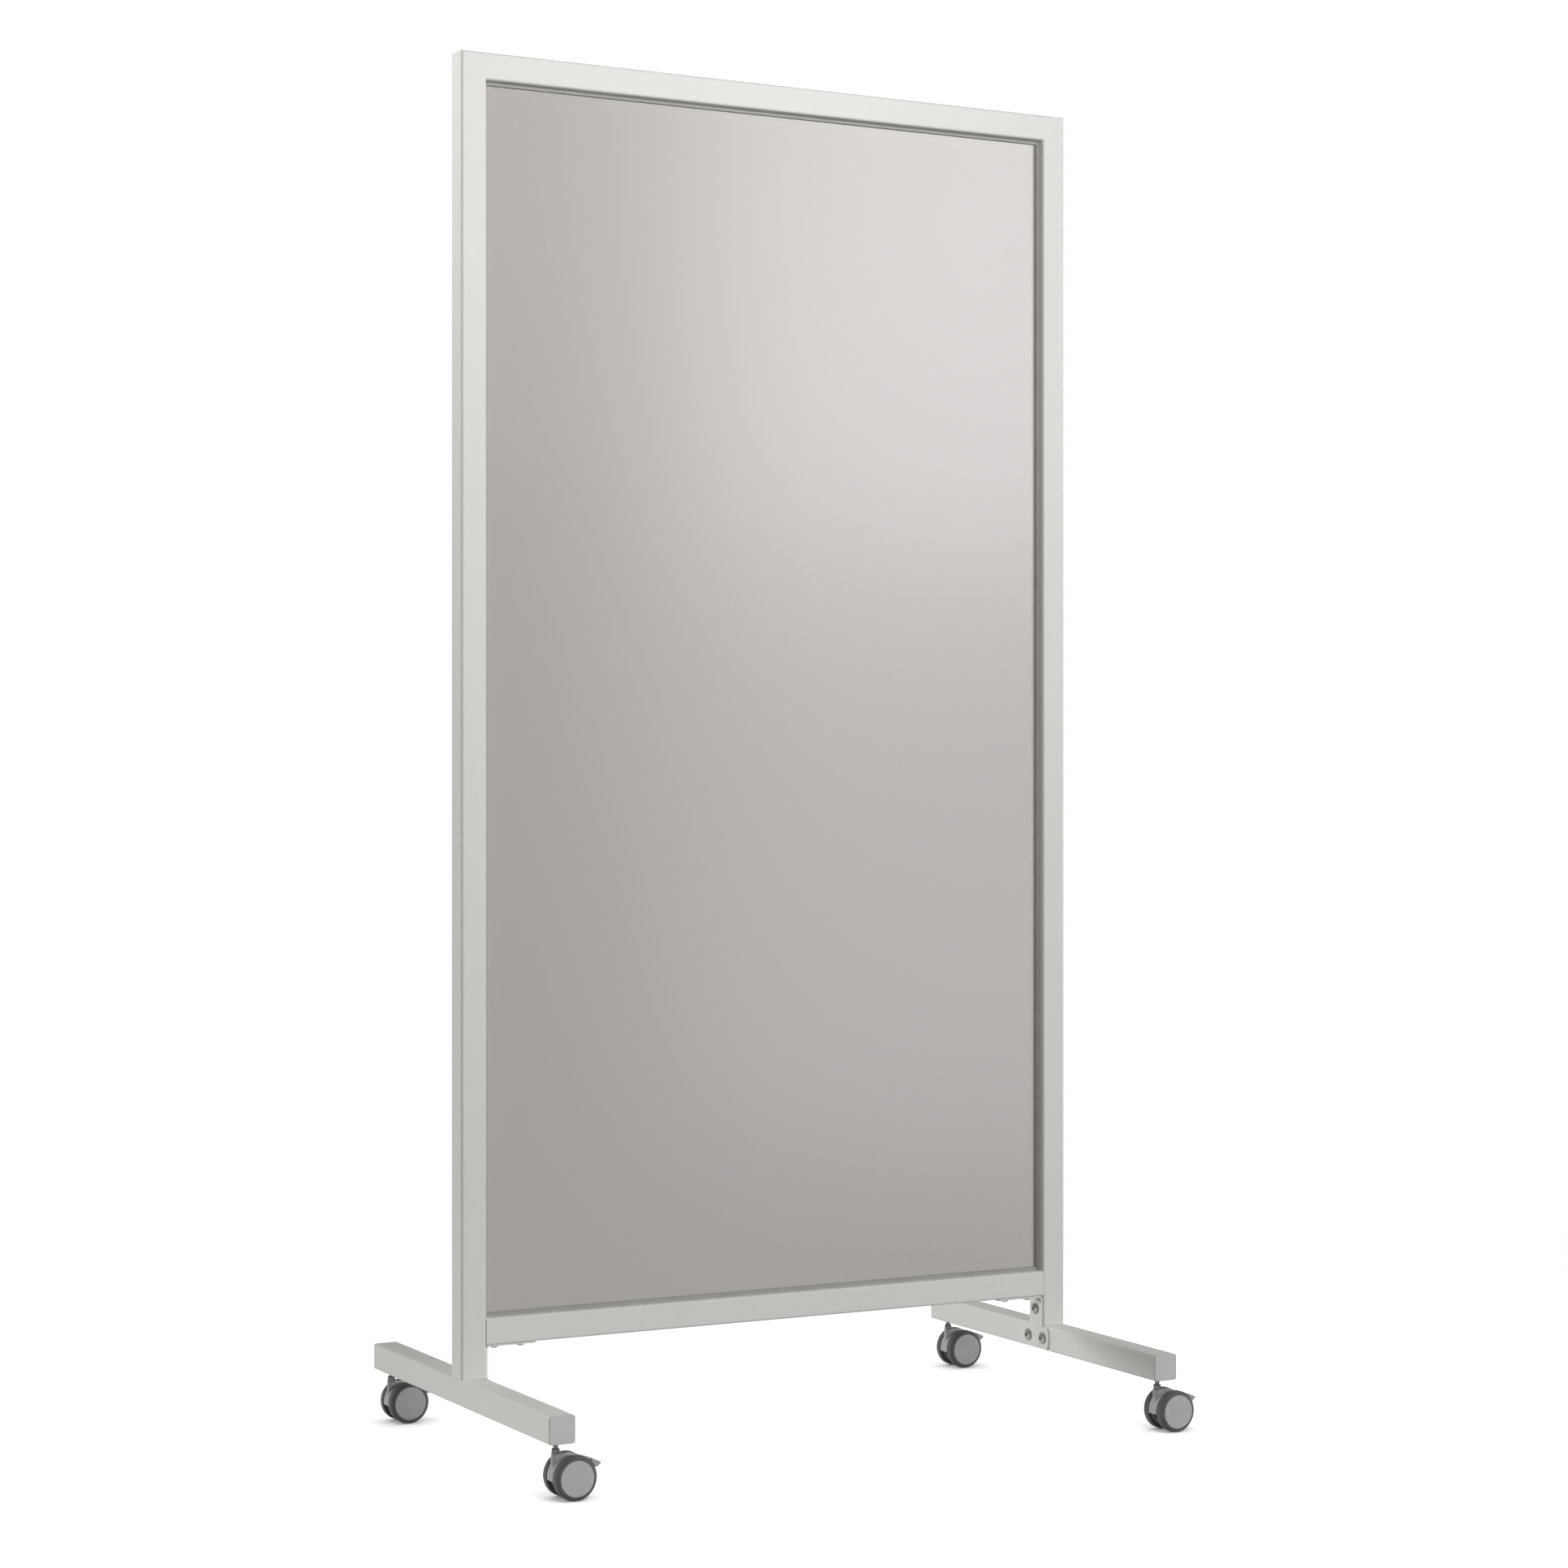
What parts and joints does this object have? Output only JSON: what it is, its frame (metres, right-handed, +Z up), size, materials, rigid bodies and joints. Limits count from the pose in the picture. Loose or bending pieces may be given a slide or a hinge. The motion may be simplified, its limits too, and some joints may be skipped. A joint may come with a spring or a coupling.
{
  "type": "mobile glass whiteboard",
  "caption": "Tall freestanding glass writing board in a square-tube steel frame, carried on cross feet with braked swivel casters.",
  "frame": {"origin": "on the floor, midway between the four caster stems", "axes": "+X to the right along the board, -Y towards the viewer of the writing side, +Z up"},
  "size_m": [1.0454, 0.6406, 1.97],
  "materials": {
    "frame_paint": "satin off-white powder coat",
    "end_cap": "satin light grey moulding",
    "screw": "satin off-white",
    "insert": "zinc plated",
    "glass": "satin light grey, opaque",
    "channel": "satin off-white",
    "strip": "matt light grey",
    "stem": "dark oxide",
    "caster_housing": "satin grey moulding",
    "brake_lever": "satin grey moulding",
    "wheel_disc": "satin grey moulding",
    "tyre": "matt dark grey",
    "axle": "plain steel"
  },
  "bodies": {
    "frame": {"upright_left": "frame_paint", "foot_left": "frame_paint", "bracket_left": "frame_paint", "foot_cap_left_front": "end_cap", "foot_cap_left_rear": "end_cap", "bracket_screws_left": "screw", "bracket_inserts_left": "insert", "upright_right": "frame_paint", "foot_right": "frame_paint", "bracket_right": "frame_paint", "foot_cap_right_front": "end_cap", "foot_cap_right_rear": "end_cap", "bracket_screws_right": "screw", "bracket_inserts_right": "insert", "top_rail": "frame_paint", "bottom_rail": "frame_paint", "stem_inserts": "insert", "glass_pane": "glass", "glazing_channel_left": "channel", "glazing_strip_left": "strip", "glazing_channel_right": "channel", "glazing_strip_right": "strip", "glazing_channel_bottom": "channel", "glazing_strip_bottom": "strip", "glazing_channel_top": "channel", "glazing_strip_top": "strip", "caster_front_left_stem": "stem", "caster_rear_left_stem": "stem", "caster_front_right_stem": "stem", "caster_rear_right_stem": "stem"},
    "swivel_front_left": {"caster_front_left_housing": "caster_housing", "caster_front_left_axle": "axle"},
    "wheel_front_left_front": {"caster_front_left_hub_front": "wheel_disc", "caster_front_left_tyre_front": "tyre"},
    "wheel_front_left_rear": {"caster_front_left_hub_rear": "wheel_disc", "caster_front_left_tyre_rear": "tyre"},
    "brake_front_left": {"caster_front_left_brake_lever": "brake_lever"},
    "swivel_rear_left": {"caster_rear_left_housing": "caster_housing", "caster_rear_left_axle": "axle"},
    "wheel_rear_left_front": {"caster_rear_left_hub_front": "wheel_disc", "caster_rear_left_tyre_front": "tyre"},
    "wheel_rear_left_rear": {"caster_rear_left_hub_rear": "wheel_disc", "caster_rear_left_tyre_rear": "tyre"},
    "brake_rear_left": {"caster_rear_left_brake_lever": "brake_lever"},
    "swivel_front_right": {"caster_front_right_housing": "caster_housing", "caster_front_right_axle": "axle"},
    "wheel_front_right_front": {"caster_front_right_hub_front": "wheel_disc", "caster_front_right_tyre_front": "tyre"},
    "wheel_front_right_rear": {"caster_front_right_hub_rear": "wheel_disc", "caster_front_right_tyre_rear": "tyre"},
    "brake_front_right": {"caster_front_right_brake_lever": "brake_lever"},
    "swivel_rear_right": {"caster_rear_right_housing": "caster_housing", "caster_rear_right_axle": "axle"},
    "wheel_rear_right_front": {"caster_rear_right_hub_front": "wheel_disc", "caster_rear_right_tyre_front": "tyre"},
    "wheel_rear_right_rear": {"caster_rear_right_hub_rear": "wheel_disc", "caster_rear_right_tyre_rear": "tyre"},
    "brake_rear_right": {"caster_rear_right_brake_lever": "brake_lever"}
  },
  "joints": [
    {"name": "swivel_front_left", "type": "hinge", "parent": "frame", "child": "swivel_front_left", "pos_m": [-0.481, -0.295, 0.064], "axis": [0, 0, 1], "continuous": true},
    {"name": "spin_front_left_front", "type": "hinge", "parent": "swivel_front_left", "child": "wheel_front_left_front", "pos_m": [-0.4602, -0.295, 0.03], "axis": [0, 1, 0], "continuous": true},
    {"name": "spin_front_left_rear", "type": "hinge", "parent": "swivel_front_left", "child": "wheel_front_left_rear", "pos_m": [-0.4602, -0.295, 0.03], "axis": [0, 1, 0], "continuous": true},
    {"name": "brake_front_left", "type": "hinge", "parent": "swivel_front_left", "child": "brake_front_left", "pos_m": [-0.4505, -0.295, 0.051], "axis": [0, 1, 0], "range_deg": [0, 8]},
    {"name": "swivel_rear_left", "type": "hinge", "parent": "frame", "child": "swivel_rear_left", "pos_m": [-0.481, 0.295, 0.064], "axis": [0, 0, 1], "continuous": true},
    {"name": "spin_rear_left_front", "type": "hinge", "parent": "swivel_rear_left", "child": "wheel_rear_left_front", "pos_m": [-0.4602, 0.295, 0.03], "axis": [0, 1, 0], "continuous": true},
    {"name": "spin_rear_left_rear", "type": "hinge", "parent": "swivel_rear_left", "child": "wheel_rear_left_rear", "pos_m": [-0.4602, 0.295, 0.03], "axis": [0, 1, 0], "continuous": true},
    {"name": "brake_rear_left", "type": "hinge", "parent": "swivel_rear_left", "child": "brake_rear_left", "pos_m": [-0.4505, 0.295, 0.051], "axis": [0, 1, 0], "range_deg": [0, 8]},
    {"name": "swivel_front_right", "type": "hinge", "parent": "frame", "child": "swivel_front_right", "pos_m": [0.481, -0.295, 0.064], "axis": [0, 0, 1], "continuous": true},
    {"name": "spin_front_right_front", "type": "hinge", "parent": "swivel_front_right", "child": "wheel_front_right_front", "pos_m": [0.5018, -0.295, 0.03], "axis": [0, 1, 0], "continuous": true},
    {"name": "spin_front_right_rear", "type": "hinge", "parent": "swivel_front_right", "child": "wheel_front_right_rear", "pos_m": [0.5018, -0.295, 0.03], "axis": [0, 1, 0], "continuous": true},
    {"name": "brake_front_right", "type": "hinge", "parent": "swivel_front_right", "child": "brake_front_right", "pos_m": [0.5115, -0.295, 0.051], "axis": [0, 1, 0], "range_deg": [0, 8]},
    {"name": "swivel_rear_right", "type": "hinge", "parent": "frame", "child": "swivel_rear_right", "pos_m": [0.481, 0.295, 0.064], "axis": [0, 0, 1], "continuous": true},
    {"name": "spin_rear_right_front", "type": "hinge", "parent": "swivel_rear_right", "child": "wheel_rear_right_front", "pos_m": [0.5018, 0.295, 0.03], "axis": [0, 1, 0], "continuous": true},
    {"name": "spin_rear_right_rear", "type": "hinge", "parent": "swivel_rear_right", "child": "wheel_rear_right_rear", "pos_m": [0.5018, 0.295, 0.03], "axis": [0, 1, 0], "continuous": true},
    {"name": "brake_rear_right", "type": "hinge", "parent": "swivel_rear_right", "child": "brake_rear_right", "pos_m": [0.5115, 0.295, 0.051], "axis": [0, 1, 0], "range_deg": [0, 8]}
  ]
}
